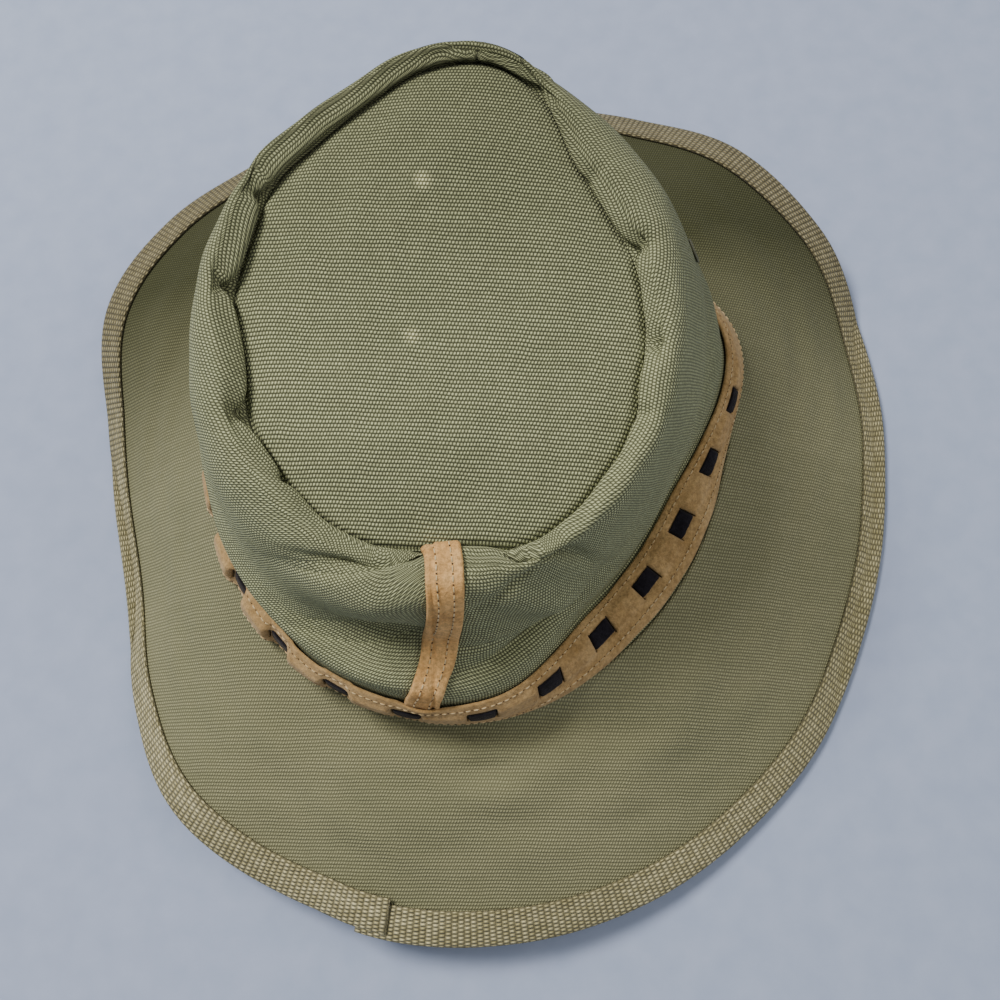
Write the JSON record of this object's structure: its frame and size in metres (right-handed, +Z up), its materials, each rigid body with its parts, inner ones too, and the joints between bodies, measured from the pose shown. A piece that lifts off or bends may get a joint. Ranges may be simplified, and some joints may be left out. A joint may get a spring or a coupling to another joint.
{
  "type": "safari hat",
  "caption": "Canvas safari hat with a wide bound brim, a dished crown and a suede band with a dark strip woven through slits.",
  "frame": {"origin": "middle of the hat's box, on the surface that the brim rests on", "axes": "+Z up through the crown, +Y towards the hat's front, +X towards its right side"},
  "size_m": [0.3178, 0.3428, 0.1524],
  "materials": {
    "canvas": "woven canvas, matte",
    "binding_tape": "coarse woven tape, matte",
    "tan_suede": "suede",
    "dark_suede": "suede",
    "eyelet": "dull"
  },
  "bodies": {
    "root": {"crown_side_left": "canvas", "crown_side_right": "canvas", "crown_tip": "canvas", "brim": "canvas", "brim_binding": "binding_tape", "hat_band": "tan_suede", "band_lacing": "dark_suede", "back_tab": "tan_suede", "vent_eyelet": "eyelet"}
  },
  "joints": []
}
